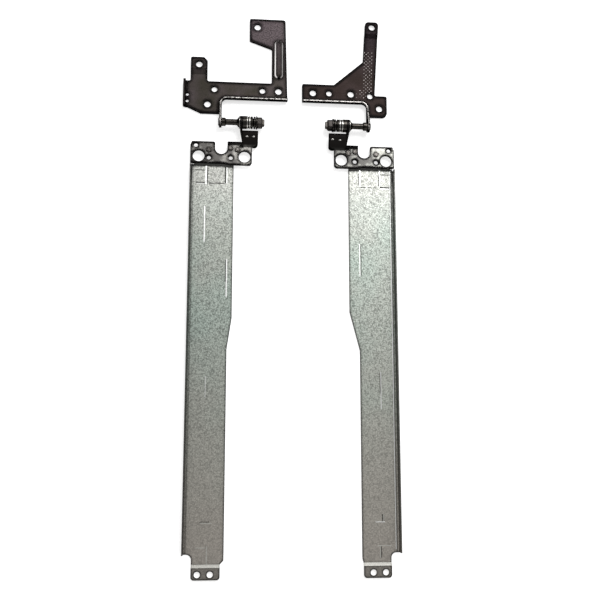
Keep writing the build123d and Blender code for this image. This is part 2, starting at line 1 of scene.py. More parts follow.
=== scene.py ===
# %% [markdown]
# # A pair of laptop lid hinges, opened flat on a bench
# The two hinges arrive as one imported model: every stamping, washer and rivet is a solid of its own,
# already in place. This lesson dresses that model. It sets a camera and a soft lamp, makes the metal
# finishes out of shader nodes, adds the fine details that are too small for the solids, and leaves every
# solid where it is.

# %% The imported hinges
import math
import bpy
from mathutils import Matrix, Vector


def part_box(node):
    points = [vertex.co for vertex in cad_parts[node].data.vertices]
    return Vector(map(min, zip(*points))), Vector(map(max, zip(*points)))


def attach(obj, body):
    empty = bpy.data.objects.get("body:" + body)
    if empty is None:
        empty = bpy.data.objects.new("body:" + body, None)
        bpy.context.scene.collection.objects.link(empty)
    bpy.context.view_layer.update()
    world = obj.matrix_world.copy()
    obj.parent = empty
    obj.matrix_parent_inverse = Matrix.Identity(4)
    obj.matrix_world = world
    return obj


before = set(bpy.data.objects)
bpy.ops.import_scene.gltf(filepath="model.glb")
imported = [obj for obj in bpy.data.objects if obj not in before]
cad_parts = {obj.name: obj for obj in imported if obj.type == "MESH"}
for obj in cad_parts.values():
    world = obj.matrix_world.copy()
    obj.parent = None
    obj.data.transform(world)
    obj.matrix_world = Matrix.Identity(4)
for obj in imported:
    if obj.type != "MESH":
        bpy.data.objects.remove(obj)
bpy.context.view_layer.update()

from types import SimpleNamespace

import bmesh
import bpy
from mathutils import Matrix, Vector

MM = 0.001
scene = bpy.context.scene
scene.view_settings.view_transform = "Standard"

# %% [markdown]
# The hinges lie on a bench and the camera looks down on them, leaning a little, so the far ends of the
# base brackets look smaller than the near ends of the rails. A camera can be turned with three angles,
# but the three directions of its frame, to the right, up and back, are plainer to write down, and they
# are the columns of its matrix.

# %% Camera above the bench
eye = Vector((-31.15, -73.8, 392.7)) * MM
target = Vector((5.6, -7.65, 0)) * MM
top_of_picture = Vector((-0.0154, 0.9862, 0.1647))
field_of_view = math.radians(39.22)

sight = (target - eye).normalized()
frame_right = sight.cross(top_of_picture).normalized()
frame_up = frame_right.cross(sight)
camera = bpy.data.objects.new("bench_camera", bpy.data.cameras.new("bench_camera"))
turn = Matrix((frame_right, frame_up, -sight)).transposed()
camera.matrix_world = Matrix.Translation(eye) @ turn.to_4x4()
camera.data.angle = field_of_view
scene.collection.objects.link(camera)
scene.camera = camera
print("camera to hinges:", round((target - eye).length / MM), "mm")

# %% [markdown]
# A few helpers serve every finish. Colours are written as the hex values that a paint program shows, and
# Blender computes in linear light, so one function converts them. Shader nodes are all added in one way:
# a kind, its settings, and the outputs that feed its sockets. A setting is a property of the node or the
# value of a socket. A Mix node holds sockets for numbers and for colours side by side, so they are picked
# by number: 0 is the factor, 2 and 3 are the two numbers, 6 and 7 are the two colours. Patterns and
# places are in millimetres here and in metres in Blender, so two short functions convert those too.

# %% Colours and nodes
def ink(hex_colour):
    """Linear colour for an sRGB hex value."""
    channels = [int(hex_colour[i:i + 2], 16) / 255 for i in (0, 2, 4)]
    linear = [c / 12.92 if c <= 0.04045 else ((c + 0.055) / 1.055) ** 2.4 for c in channels]
    return (*linear, 1.0)


def add_node(tree, kind, settings={}, links={}):
    """One shader node with its settings and the outputs linked to its sockets."""
    node = tree.nodes.new(kind)
    for name, value in settings.items():
        if isinstance(name, str) and hasattr(node, name):
            setattr(node, name, value)
        else:
            node.inputs[name].default_value = value
    for name, output in links.items():
        tree.links.new(output, node.inputs[name])
    return node


def start_material(name):
    """Empty node material and its tree."""
    material = bpy.data.materials.new(name)
    material.use_nodes = True
    material.node_tree.nodes.clear()
    return material, material.node_tree


def per_metre(size_mm):
    """Scale of a pattern whose cells are so many millimetres across."""
    return 1 / (size_mm * MM)


def stretch(start_mm, end_mm):
    """Settings of a Map Range node that rises from 0 to 1 between two places."""
    return {"From Min": start_mm * MM, "From Max": end_mm * MM}


print("a middle grey of 808080 is", round(ink("808080")[0], 3), "in linear light")

# %% [markdown]
# The bench is a plain white sheet. It is a real diffuse floor, so it takes the hinges' soft shadow and
# throws light back under the raised edges. A camera sees such paper a little grey, so the floor also
# glows by a fixed amount, but only for the camera and for reflections: the Light Path node keeps that
# glow from lighting the hinges.

# %% White bench
BENCH_SIZE = 60.0
BENCH_GLOW = 0.6
BENCH_DROP = 0.02

bench_mesh = bmesh.new()
bmesh.ops.create_grid(bench_mesh, x_segments=1, y_segments=1, size=BENCH_SIZE / 2)
bmesh.ops.translate(bench_mesh, verts=bench_mesh.verts, vec=(0, 0, -BENCH_DROP * MM))
bench = bpy.data.objects.new("bench", bpy.data.meshes.new("bench"))
bench_mesh.to_mesh(bench.data)
bench_mesh.free()
scene.collection.objects.link(bench)

paper, tree = start_material("white_paper")
path = add_node(tree, "ShaderNodeLightPath")
seen = path.outputs["Is Camera Ray"]
for ray in ("Is Glossy Ray", "Is Transmission Ray"):
    seen = add_node(tree, "ShaderNodeMath", {"operation": "MAXIMUM"},
                    {0: seen, 1: path.outputs[ray]}).outputs[0]
glow = add_node(tree, "ShaderNodeMath", {"operation": "MULTIPLY", 1: BENCH_GLOW}, {0: seen})
sheet = add_node(tree, "ShaderNodeBsdfDiffuse", {"Color": ink("F2F2F2")})
shine = add_node(tree, "ShaderNodeEmission", {"Color": (1, 1, 1, 1)}, {"Strength": glow.outputs[0]})
both = add_node(tree, "ShaderNodeAddShader", {}, {0: sheet.outputs[0], 1: shine.outputs[0]})
add_node(tree, "ShaderNodeOutputMaterial", {}, {"Surface": both.outputs[0]})
bench.data.materials.append(paper)
print("bench glow for the camera:", BENCH_GLOW)

# %% [markdown]
# Bare metal shows its surroundings more than its own colour. The walls of this room are white, which also
# keeps the background white in a low view. Its ceiling is brighter beyond the base brackets and darker on
# the camera's side, so the flat plates turn grey. The world's Generated coordinate is the direction of a
# ray: its height tells wall from ceiling, and its dot product with one fixed direction gives the change
# along the ceiling. One large soft lamp stands on the bright side and to the right, so the rails fade
# towards the camera.

# %% Room and lamp
BRIGHT_SIDE = (-0.4, 0.917, 0.0)
ROOM_DARK = 0.2
ROOM_BRIGHT = 0.55
WALL_LEVEL = 1.0
WALL_TOP = (0.25, 0.5)
LAMP_SIZE = 0.6
LAMP_POWER = 7.0
LAMP_DISTANCE = 1.1
LAMP_LEAN = (19, 33)

room = bpy.data.worlds.new("studio_room")
room.use_nodes = True
tree = room.node_tree
tree.nodes.clear()
ray = add_node(tree, "ShaderNodeTexCoord")
towards = add_node(tree, "ShaderNodeVectorMath", {"operation": "DOT_PRODUCT", 1: BRIGHT_SIDE},
                   {0: ray.outputs["Generated"]})
ceiling = add_node(tree, "ShaderNodeMapRange", {"From Min": -1.0, "To Min": ROOM_DARK, "To Max": ROOM_BRIGHT},
                   {"Value": towards.outputs["Value"]})
height = add_node(tree, "ShaderNodeSeparateXYZ", {}, {0: ray.outputs["Generated"]})
overhead = add_node(tree, "ShaderNodeMapRange", {"From Min": WALL_TOP[0], "From Max": WALL_TOP[1]},
                    {"Value": height.outputs["Z"]})
level = add_node(tree, "ShaderNodeMix", {2: WALL_LEVEL}, {0: overhead.outputs[0], 3: ceiling.outputs[0]})
walls = add_node(tree, "ShaderNodeBackground", {"Color": (1, 1, 1, 1)}, {"Strength": level.outputs[0]})
add_node(tree, "ShaderNodeOutputWorld", {}, {"Surface": walls.outputs[0]})
scene.world = room

lean_x, lean_y = (math.tan(math.radians(angle)) for angle in LAMP_LEAN)
lamp_direction = Vector((lean_x, lean_y, 1)).normalized()
lamp = bpy.data.objects.new("soft_lamp", bpy.data.lights.new("soft_lamp", "AREA"))
lamp.data.shape = "SQUARE"
lamp.data.size = LAMP_SIZE
lamp.data.energy = LAMP_POWER
lamp_turn = lamp_direction.to_track_quat("Z", "Y").to_matrix()
lamp.matrix_world = Matrix.Translation(lamp_direction * LAMP_DISTANCE) @ lamp_turn.to_4x4()
scene.collection.objects.link(lamp)
print("lamp at", [round(c, 2) for c in lamp.location])

# %% [markdown]
# Many finishes here depend on where on a stamping the metal is: shade is painted along the edges as a dark
# line, and the sides are painted darker than the flat. Two facts of the surface find these places. The Bevel
# node gives the normal that a rounded edge would have, and where it leaves the true normal, an edge is near.
# The height of the normal's tip, up or down, tells the flat faces from the sides. A turned up rim is only a
# sheet wide, so above a given height the painted dark line is thinner. One function adds these facts to a
# material, for all the stampings to use, and another gives the places where several facts hold at once.

# %% Edges and sides of a stamping
EDGE_MATCH = (0.998, 0.97)
SIDE_SLOPE = (0.5, 0.2)
RIM_FADE = 0.3


def near_edge(tree, reach_mm):
    """Mask that is 1 at an edge and fades out within a reach."""
    truth = add_node(tree, "ShaderNodeNewGeometry")
    rounded = add_node(tree, "ShaderNodeBevel", {"samples": 8, "Radius": reach_mm * MM})
    match = add_node(tree, "ShaderNodeVectorMath", {"operation": "DOT_PRODUCT"},
                     {0: rounded.outputs[0], 1: truth.outputs["True Normal"]})
    edge = add_node(tree, "ShaderNodeMapRange", {"From Min": EDGE_MATCH[0], "From Max": EDGE_MATCH[1]},
                    {"Value": match.outputs["Value"]})
    return edge.outputs[0]


def stamped_edges(tree, reach_mm, thin_reach_mm, turned_up_mm):
    """Place and slope on a stamping, its turned up rim, and the mask of its edges and sides where shade is
    painted.
    """
    place = add_node(tree, "ShaderNodeTexCoord")
    spot = add_node(tree, "ShaderNodeSeparateXYZ", {}, {0: place.outputs["Object"]})
    slope = add_node(tree, "ShaderNodeSeparateXYZ", {}, {0: place.outputs["Normal"]})
    rim = add_node(tree, "ShaderNodeMapRange", stretch(turned_up_mm, turned_up_mm + RIM_FADE),
                   {"Value": spot.outputs["Z"]})
    edge = add_node(tree, "ShaderNodeMix", {}, {0: rim.outputs[0], 2: near_edge(tree, reach_mm),
                                                3: near_edge(tree, thin_reach_mm)})
    level = add_node(tree, "ShaderNodeMath", {"operation": "ABSOLUTE"}, {0: slope.outputs["Z"]})
    side = add_node(tree, "ShaderNodeMapRange", {"From Min": SIDE_SLOPE[0], "From Max": SIDE_SLOPE[1]},
                    {"Value": level.outputs[0]})
    # Painted shade: this mask darkens the edges and sides in every stamping's colour.
    cut = add_node(tree, "ShaderNodeMath", {"operation": "MAXIMUM"}, {0: edge.outputs[0], 1: side.outputs[0]})
    return SimpleNamespace(place=place.outputs["Object"], spot=spot.outputs, slope=slope.outputs,
                           level=level.outputs[0], rim=rim.outputs[0], cut=cut.outputs[0])


def all_of(tree, first, *others):
    """Mask that is 1 only where all the given masks are."""
    mask = first
    for other in others:
        mask = add_node(tree, "ShaderNodeMath", {"operation": "MULTIPLY"}, {0: mask, 1: other}).outputs[0]
    return mask


print("an edge shows where the normals match by less than", EDGE_MATCH[0])

# %% [markdown]
# The long rails are hot-dip galvanised sheet steel. Zinc freezes in crystals, so the surface is a fine
# grey mosaic with no direction. Cell noise gives each crystal its own tone, and the distance to the
# middle of its cell darkens its border. On thin sheet the real crystals are a few tenths of a millimetre
# across, which would be too fine to show, so these are drawn coarser.

# %% Zinc crystals
CRYSTAL = 0.62
CRYSTAL_LIFT = 0.3
BORDER_POWER = 1.4
GRAIN = (-0.6, 0.3)
GRAIN_SHADE = (0.4, 1.25)

zinc, tree = start_material("galvanised_sheet_steel")
here = stamped_edges(tree, reach_mm=1.5, thin_reach_mm=0.9, turned_up_mm=3.6)
crystals = add_node(tree, "ShaderNodeTexVoronoi", {"Scale": per_metre(CRYSTAL), "Randomness": 0.8},
                    {"Vector": here.place})
tone = add_node(tree, "ShaderNodeSeparateColor", {}, {0: crystals.outputs["Color"]})
lift = add_node(tree, "ShaderNodeMath", {"operation": "MULTIPLY", 1: CRYSTAL_LIFT}, {0: tone.outputs[0]})
border = add_node(tree, "ShaderNodeMath", {"operation": "POWER", 1: BORDER_POWER},
                  {0: crystals.outputs["Distance"]})
grain = add_node(tree, "ShaderNodeMath", {"operation": "SUBTRACT"},
                 {0: lift.outputs[0], 1: border.outputs[0]})
shade = add_node(tree, "ShaderNodeMapRange", {"From Min": GRAIN[0], "From Max": GRAIN[1],
                                              "To Min": GRAIN_SHADE[0], "To Max": GRAIN_SHADE[1]},
                 {"Value": grain.outputs[0]})
print("zinc crystals per metre:", round(per_metre(CRYSTAL)))

# %% [markdown]
# Old zinc is not one grey. A slow cloud shifts it between two greens, and the far half of each rail has
# gone brown with age. The end by the hinge is painted paler, a painted highlight of the lamp. The crystals
# are multiplied over these tints, and they are less crisp where the zinc is old.

# %% Tints of old zinc and a painted highlight
TARNISH = 34.0
AGED_Y = (-20, -120)
HIGHLIGHT_Y = (20, 50)
AGED_CRISPNESS = 0.5

clouds = add_node(tree, "ShaderNodeTexNoise", {"Scale": per_metre(TARNISH), "Detail": 2.0},
                  {"Vector": here.place})
spread = add_node(tree, "ShaderNodeMapRange", {"From Min": 0.38, "From Max": 0.62},
                  {"Value": clouds.outputs[0]})
fresh = add_node(tree, "ShaderNodeMix", {"data_type": "RGBA", 6: ink("B2BEB5"), 7: ink("B5BAB2")},
                 {0: spread.outputs[0]})
aged = add_node(tree, "ShaderNodeMapRange", stretch(*AGED_Y), {"Value": here.spot["Y"]})
tint = add_node(tree, "ShaderNodeMix", {"data_type": "RGBA", 7: ink("C3BDB4")},
                {0: aged.outputs[0], 6: fresh.outputs[2]})
# Painted highlight: the rail's end by the hinge is painted paler towards the lamp.
top_highlight = add_node(tree, "ShaderNodeMapRange", stretch(*HIGHLIGHT_Y), {"Value": here.spot["Y"]})
tint = add_node(tree, "ShaderNodeMix", {"data_type": "RGBA", 7: ink("C6C7C1")},
                {0: top_highlight.outputs[0], 6: tint.outputs[2]})
crisp = add_node(tree, "ShaderNodeMapRange", {"To Min": 1.0, "To Max": AGED_CRISPNESS},
                 {"Value": aged.outputs[0]})
sheet = add_node(tree, "ShaderNodeMix", {"data_type": "RGBA", "blend_type": "MULTIPLY"},
                 {0: crisp.outputs[0], 6: tint.outputs[2], 7: shade.outputs[0]})
print("zinc ages over", AGED_Y[0] - AGED_Y[1], "mm of the rail")

# %% [markdown]
# Light and shade are painted where the rail is bent. The left rail is painted darker along its bend as
# shade, the end tabs are painted darker than the rails, the step at the head and the tip of the rim are
# painted dark as shade, and the short ramp down to the tab gets a painted highlight. Each of these is found
# by where it lies along the rail and by how steeply the metal slopes there.

# %% Bent places of the rails
LEFT_BEND_X = (-45.4, -46.2)
LEFT_BEND_SHADE = 0.6
TAB_Y = (-128.6, -129.4)
TAB_SHADE = 0.65
STEP_SLOPE = (0.985, 0.9)
HEAD_Y = (48, 52)
RAMP_Y = (-125, -126)
RIM_TIP_Y = (54, 55)

# Painted shade: darker along the left rail's bend and on the end tabs.
for axis, where, shading in (("X", LEFT_BEND_X, LEFT_BEND_SHADE), ("Y", TAB_Y, TAB_SHADE)):
    darker = add_node(tree, "ShaderNodeMapRange", stretch(*where) | {"To Min": 1.0, "To Max": shading},
                      {"Value": here.spot[axis]})
    sheet = add_node(tree, "ShaderNodeMix", {"data_type": "RGBA", "blend_type": "MULTIPLY", 0: 1.0},
                     {6: sheet.outputs[2], 7: darker.outputs[0]})
sloped = add_node(tree, "ShaderNodeMapRange", {"From Min": STEP_SLOPE[0], "From Max": STEP_SLOPE[1]},
                  {"Value": here.level})
headward, tabward, tipward = (
    add_node(tree, "ShaderNodeMapRange", stretch(*where), {"Value": here.spot["Y"]}).outputs[0]
    for where in (HEAD_Y, RAMP_Y, RIM_TIP_Y)
)
# Painted highlight on the ramp down to the tab.
ramp = all_of(tree, sloped.outputs[0], tabward)
highlighted = add_node(tree, "ShaderNodeMix", {"data_type": "RGBA", 7: ink("BAB9B3")},
                  {0: ramp, 6: sheet.outputs[2]})
cut = here.cut
# Painted shade on the step at the head and on the rim's tip.
for dark_place in (all_of(tree, sloped.outputs[0], headward), all_of(tree, tipward, here.rim)):
    cut = add_node(tree, "ShaderNodeMath", {"operation": "MAXIMUM"}, {0: cut, 1: dark_place}).outputs[0]
print("ramp to the tab starts at y", RAMP_Y[0], "mm")

# %% [markdown]
# What is left is the metal itself. Edges and sides are painted nearly black as shade, less so on the ramp
# with its painted highlight. Each crystal has its own gloss and stands a hair higher or lower than the next,
# so the lamp glitters over the mosaic.

# %% Zinc as a metal
RAMP_KEPT = 0.7
EDGE_SHADE_DEPTH = 0.85

kept = add_node(tree, "ShaderNodeMath", {"operation": "MULTIPLY", 1: RAMP_KEPT}, {0: ramp})
cut = add_node(tree, "ShaderNodeMath", {"operation": "SUBTRACT", "use_clamp": True},
               {0: cut, 1: kept.outputs[0]})
cut = add_node(tree, "ShaderNodeMath", {"operation": "MULTIPLY", 1: EDGE_SHADE_DEPTH}, {0: cut.outputs[0]})
# Painted shade: the zinc's edges and sides go nearly black.
colour = add_node(tree, "ShaderNodeMix", {"data_type": "RGBA", 7: ink("302F2E")},
                  {0: cut.outputs[0], 6: highlighted.outputs[2]})
gloss = add_node(tree, "ShaderNodeMapRange", {"To Min": 0.38, "To Max": 0.5}, {"Value": tone.outputs[1]})
relief = add_node(tree, "ShaderNodeBump", {"Strength": 0.15, "Distance": 0.05 * MM},
                  {"Height": tone.outputs[2]})
metal = add_node(tree, "ShaderNodeBsdfPrincipled", {"Metallic": 1.0},
                 {"Base Color": colour.outputs[2], "Roughness": gloss.outputs[0],
                  "Normal": relief.outputs[0]})
add_node(tree, "ShaderNodeOutputMaterial", {}, {"Surface": metal.outputs[0]})
print("nodes in the zinc:", len(tree.nodes))

# %% [markdown]
# The base brackets are plated black, and two places on them are painted pale. The top of the flange and
# ear is bare in worn stretches, as if sheared after plating, and its near-white colour is partly a painted
# highlight as well. The finish finds it by two facts of the solid: it looks up and stands above the plate.
# The sloping flanks of the post's bead carry a painted highlight, and those are found by their lean, their
# height and how far they lie from the middle of the bead.

# %% Bare and highlighted places of the base brackets
WEAR = 1.5
PLATE_TOP = 1.2
BEAD_TOP = 1.9
BEAD_X = -5.05
BEAD_WIDTH = 4.4
PLATED_LOBE_X = (-46, -45)


def bare_and_highlit_top(tree, here):
    """Mask of the top of the flange and ear, partly bare sheared metal and partly a painted highlight."""
    wear = add_node(tree, "ShaderNodeTexNoise", {"Scale": per_metre(WEAR), "Detail": 1.0},
                    {"Vector": here.place})
    upward = add_node(tree, "ShaderNodeMapRange", {"From Min": 0.6, "From Max": 0.9},
                      {"Value": here.slope["Z"]})
    worn = add_node(tree, "ShaderNodeMapRange", {"From Min": 0.3, "From Max": 0.55},
                    {"Value": wear.outputs[0]})
    inboard = add_node(tree, "ShaderNodeMapRange", stretch(*PLATED_LOBE_X), {"Value": here.spot["X"]})
    return all_of(tree, here.rim, upward.outputs[0], worn.outputs[0], inboard.outputs[0])


def bead_highlight(tree, here):
    """Mask of the painted highlight on the bead's sloping flanks, stronger on the left one, which faces away
    from the lamp.
    """
    sideways = add_node(tree, "ShaderNodeMath", {"operation": "ABSOLUTE"}, {0: here.slope["X"]})
    lean = add_node(tree, "ShaderNodeMath", {"operation": "MAXIMUM"},
                    {0: sideways.outputs[0], 1: here.slope["Y"]})
    flank = add_node(tree, "ShaderNodeMapRange", {"From Min": 0.2, "From Max": 0.4},
                     {"Value": lean.outputs[0]})
    lit = add_node(tree, "ShaderNodeMapRange",
                   {"From Min": -0.1, "From Max": 0.1, "To Min": 1.0, "To Max": 0.6},
                   {"Value": here.slope["X"]})
    above = add_node(tree, "ShaderNodeMapRange", stretch(PLATE_TOP + 0.05, PLATE_TOP + 0.2),
                     {"Value": here.spot["Z"]})
    below = add_node(tree, "ShaderNodeMapRange", stretch(BEAD_TOP + 0.3, BEAD_TOP + 0.1),
                     {"Value": here.spot["Z"]})
    offset = add_node(tree, "ShaderNodeMath", {"operation": "SUBTRACT", 1: BEAD_X * MM}, {0: here.spot["X"]})
    across = add_node(tree, "ShaderNodeMath", {"operation": "ABSOLUTE"}, {0: offset.outputs[0]})
    bead = add_node(tree, "ShaderNodeMapRange", stretch(BEAD_WIDTH / 2 + 0.3, BEAD_WIDTH / 2 + 0.1),
                    {"Value": across.outputs[0]})
    return all_of(tree, flank.outputs[0], bead.outputs[0], above.outputs[0], below.outputs[0], lit.outputs[0])


print("bead flanks stand", round(BEAD_TOP - PLATE_TOP, 2), "mm above the plate")

# %% [markdown]
# The plate itself is black zinc on steel: nearly black, satin, with brown and violet clouds where the
# bath worked unevenly, and a rougher coat towards the far ends of the posts. The left bracket came out
# olive and the right one darker and redder, so a loop makes two batches.

# %% Black plated steel
PLATING_CLOUD = 9.0
PLATING_GRIT = 0.6
POST_Y = (104, 126)
NEAR_GRIT = 0.3
PLATING_BATCHES = [("left", "322F2A", "413B3B", "463F41"), ("right", "241E1C", "2C2524", "221D1F")]

platings = {}
for batch, dark, pale, head in PLATING_BATCHES:
    plating, tree = start_material(f"{batch}_black_zinc_plate")
    here = stamped_edges(tree, reach_mm=3.0, thin_reach_mm=1.3, turned_up_mm=2.6)
    clouds = add_node(tree, "ShaderNodeTexNoise", {"Scale": per_metre(PLATING_CLOUD), "Detail": 3.0},
                      {"Vector": here.place})
    grit = add_node(tree, "ShaderNodeTexNoise", {"Scale": per_metre(PLATING_GRIT), "Detail": 2.0},
                    {"Vector": here.place})
    spread = add_node(tree, "ShaderNodeMapRange", {"From Min": 0.35, "From Max": 0.65},
                      {"Value": clouds.outputs[0]})
    tint = add_node(tree, "ShaderNodeMix", {"data_type": "RGBA", 6: ink(dark), 7: ink(pale)},
                    {0: spread.outputs[0]})
    far = add_node(tree, "ShaderNodeMapRange", stretch(*POST_Y), {"Value": here.spot["Y"]})
    tint = add_node(tree, "ShaderNodeMix", {"data_type": "RGBA", 7: ink(head)},
                    {0: far.outputs[0], 6: tint.outputs[2]})
    speck = add_node(tree, "ShaderNodeMapRange",
                     {"From Min": 0.3, "From Max": 0.7, "To Min": 0.4, "To Max": 1.6},
                     {"Value": grit.outputs[0]})
    rough_coat = add_node(tree, "ShaderNodeMapRange", {"To Min": NEAR_GRIT, "To Max": 1.0},
                          {"Value": far.outputs[0]})
    black = add_node(tree, "ShaderNodeMix", {"data_type": "RGBA", "blend_type": "MULTIPLY"},
                     {0: rough_coat.outputs[0], 6: tint.outputs[2], 7: speck.outputs[0]})
    # Painted highlight, partly real bare metal: the top of the flange and ear goes near white.
    colour = add_node(tree, "ShaderNodeMix", {"data_type": "RGBA", 7: ink("E4E0DC")},
                      {0: bare_and_highlit_top(tree, here), 6: black.outputs[2]})
    # Painted highlight on the bead's flanks.
    highlighted = bead_highlight(tree, here)
    colour = add_node(tree, "ShaderNodeMix", {"data_type": "RGBA", 7: ink("F4F0EE")},
                      {0: highlighted, 6: colour.outputs[2]})
    gloss = add_node(tree, "ShaderNodeMapRange", {"To Min": 0.46, "To Max": 0.3}, {"Value": highlighted})
    cut = add_node(tree, "ShaderNodeMath", {"operation": "SUBTRACT", "use_clamp": True},
                   {0: here.cut, 1: highlighted})
    # Painted shade: the plate's edges and sides go nearly black.
    edge_shaded = add_node(tree, "ShaderNodeMix", {"data_type": "RGBA", 7: ink("0C0B0B")},
                     {0: cut.outputs[0], 6: colour.outputs[2]})
    relief = add_node(tree, "ShaderNodeBump", {"Strength": 0.12, "Distance": 0.04 * MM},
                      {"Height": grit.outputs[0]})
    metal = add_node(tree, "ShaderNodeBsdfPrincipled", {"Metallic": 1.0, "Specular Tint": ink("505050")},
                     {"Base Color": edge_shaded.outputs[2], "Roughness": gloss.outputs[0],
                      "Normal": relief.outputs[0]})
    add_node(tree, "ShaderNodeOutputMaterial", {}, {"Surface": metal.outputs[0]})
    platings[batch] = plating
print("plating clouds are", PLATING_CLOUD, "mm across")

# %% [markdown]
# The lid brackets have a thinner, harder nickel plate that still shines. They are worn: fine smudges
# change the gloss from place to place. Each plate is also painted paler towards its right end, a painted
# highlight of the lamp on that side, and the smudges break it up in patches. The arm that is drawn up to the
# shaft is painted near black as shade, and the height of the metal above the plate shows where that starts.

# %% Dark nickel plate
SMUDGE = 3.0
LID_TOP = 2.7
# Batches: side, dark and pale colours, and the stretch over which the painted highlight makes the plate
# paler.
NICKEL_BATCHES = [("left", "565452", "A19F9A", (-36, -14)), ("right", "484745", "9A9A94", (36, 51))]

nickels = {}
for batch, dark, pale, highlight_x in NICKEL_BATCHES:
    nickel, tree = start_material(f"{batch}_dark_nickel_plate")
    here = stamped_edges(tree, reach_mm=2.3, thin_reach_mm=1.2, turned_up_mm=3.0)
    smudges = add_node(tree, "ShaderNodeTexNoise", {"Scale": per_metre(SMUDGE), "Detail": 4.0},
                       {"Vector": here.place})
    grit = add_node(tree, "ShaderNodeTexNoise", {"Scale": per_metre(PLATING_GRIT), "Detail": 2.0},
                    {"Vector": here.place})
    spread = add_node(tree, "ShaderNodeMapRange",
                      {"From Min": 0.3, "From Max": 0.7, "To Min": -0.6, "To Max": 0.6},
                      {"Value": smudges.outputs[0]})
    # Painted highlight: the plate turns paler towards its right end.
    across = add_node(tree, "ShaderNodeMapRange", stretch(*highlight_x), {"Value": here.spot["X"]})
    smudge_and_highlight = add_node(tree, "ShaderNodeMath", {"operation": "ADD", "use_clamp": True},
                      {0: across.outputs[0], 1: spread.outputs[0]})
    tint = add_node(tree, "ShaderNodeMix", {"data_type": "RGBA", 6: ink(dark), 7: ink(pale)},
                    {0: smudge_and_highlight.outputs[0]})
    # Painted shade: the raised arm goes near black.
    arm_shade = add_node(tree, "ShaderNodeMapRange", stretch(LID_TOP + 0.1, LID_TOP + 0.5),
                     {"Value": here.spot["Z"]})
    colour = add_node(tree, "ShaderNodeMix", {"data_type": "RGBA", 7: ink("2E2B2A")},
                      {0: arm_shade.outputs[0], 6: tint.outputs[2]})
    # Painted shade: the nickel's edges and sides go nearly black.
    edge_shaded = add_node(tree, "ShaderNodeMix", {"data_type": "RGBA", 7: ink("0E0D0D")},
                     {0: here.cut, 6: colour.outputs[2]})
    gloss = add_node(tree, "ShaderNodeMapRange", {"To Min": 0.24, "To Max": 0.36},
                     {"Value": smudges.outputs[0]})
    relief = add_node(tree, "ShaderNodeBump", {"Strength": 0.1, "Distance": 0.04 * MM},
                      {"Height": grit.outputs[0]})
    metal = add_node(tree, "ShaderNodeBsdfPrincipled", {"Metallic": 1.0, "Specular Tint": ink("606060")},
                     {"Base Color": edge_shaded.outputs[2], "Roughness": gloss.outputs[0],
                      "Normal": relief.outputs[0]})
    add_node(tree, "ShaderNodeOutputMaterial", {}, {"Surface": metal.outputs[0]})
    nickels[batch] = nickel
print("nickel gloss smudges are", SMUDGE, "mm across")

# %% [markdown]
# The barrel of each hinge is a stack of turned and stamped rings. Shaft and thick washers are blackened
# in hot oil, the thin friction washers are bare hard steel, the cone springs are grey from hardening, the
# nut is dark from a phosphate bath, and the rivets carry a nickel plate like the lid's. The five differ
# only in colour, gloss and how far the painted shade at an edge reaches, so one loop makes them.

# %% Barrel steels
OIL_CLOUD = 1.6
GLOSS_SPREAD = 0.1
RING_EDGE_SHADE = 0.8
# Steels: name, dark and pale colours, roughness, reach of the painted edge shade in millimetres.
STEELS = [
    ("oil_blackened_steel", "33312F", "474440", 0.14, 0.5),
    ("bright_hard_steel", "A8A6A2", "E2E0DA", 0.22, 0.4),
    ("hardened_spring_steel", "3A3835", "524F4A", 0.2, 0.5),
    ("phosphated_steel", "211F1E", "3A3735", 0.22, 0.8),
    ("nickelled_steel", "45423F", "8A8682", 0.26, 1.4),
]

barrel_steels = {}
for name, dark, pale, rough, reach in STEELS:
    steel, tree = start_material(name)
    place = add_node(tree, "ShaderNodeTexCoord").outputs["Object"]
    clouds = add_node(tree, "ShaderNodeTexNoise", {"Scale": per_metre(OIL_CLOUD), "Detail": 3.0},
                      {"Vector": place})
    spread = add_node(tree, "ShaderNodeMapRange", {"From Min": 0.35, "From Max": 0.65},
                      {"Value": clouds.outputs[0]})
    tint = add_node(tree, "ShaderNodeMix", {"data_type": "RGBA", 6: ink(dark), 7: ink(pale)},
                    {0: spread.outputs[0]})
    cut = add_node(tree, "ShaderNodeMath", {"operation": "MULTIPLY", 1: RING_EDGE_SHADE},
                   {0: near_edge(tree, reach)})
    # Painted shade: each ring goes near black towards its edges.
    colour = add_node(tree, "ShaderNodeMix", {"data_type": "RGBA", 7: ink("121110")},
                      {0: cut.outputs[0], 6: tint.outputs[2]})
    gloss = add_node(tree, "ShaderNodeMapRange", {"To Min": rough, "To Max": rough + GLOSS_SPREAD},
                     {"Value": spread.outputs[0]})
    metal = add_node(tree, "ShaderNodeBsdfPrincipled", {"Metallic": 1.0, "Specular Tint": ink("707070")},
                     {"Base Color": colour.outputs[2], "Roughness": gloss.outputs[0]})
    add_node(tree, "ShaderNodeOutputMaterial", {}, {"Surface": metal.outputs[0]})
    barrel_steels[name] = steel
print("barrel steels:", sorted(barrel_steels))

# %% [markdown]
# Each solid now gets its finish. The same pieces are on both hinges, so a short table of piece and finish
# dresses the barrels and rivets. The three stampings are added to it for each hinge, because the brackets
# differ in batch, and no solid is dressed by hand.

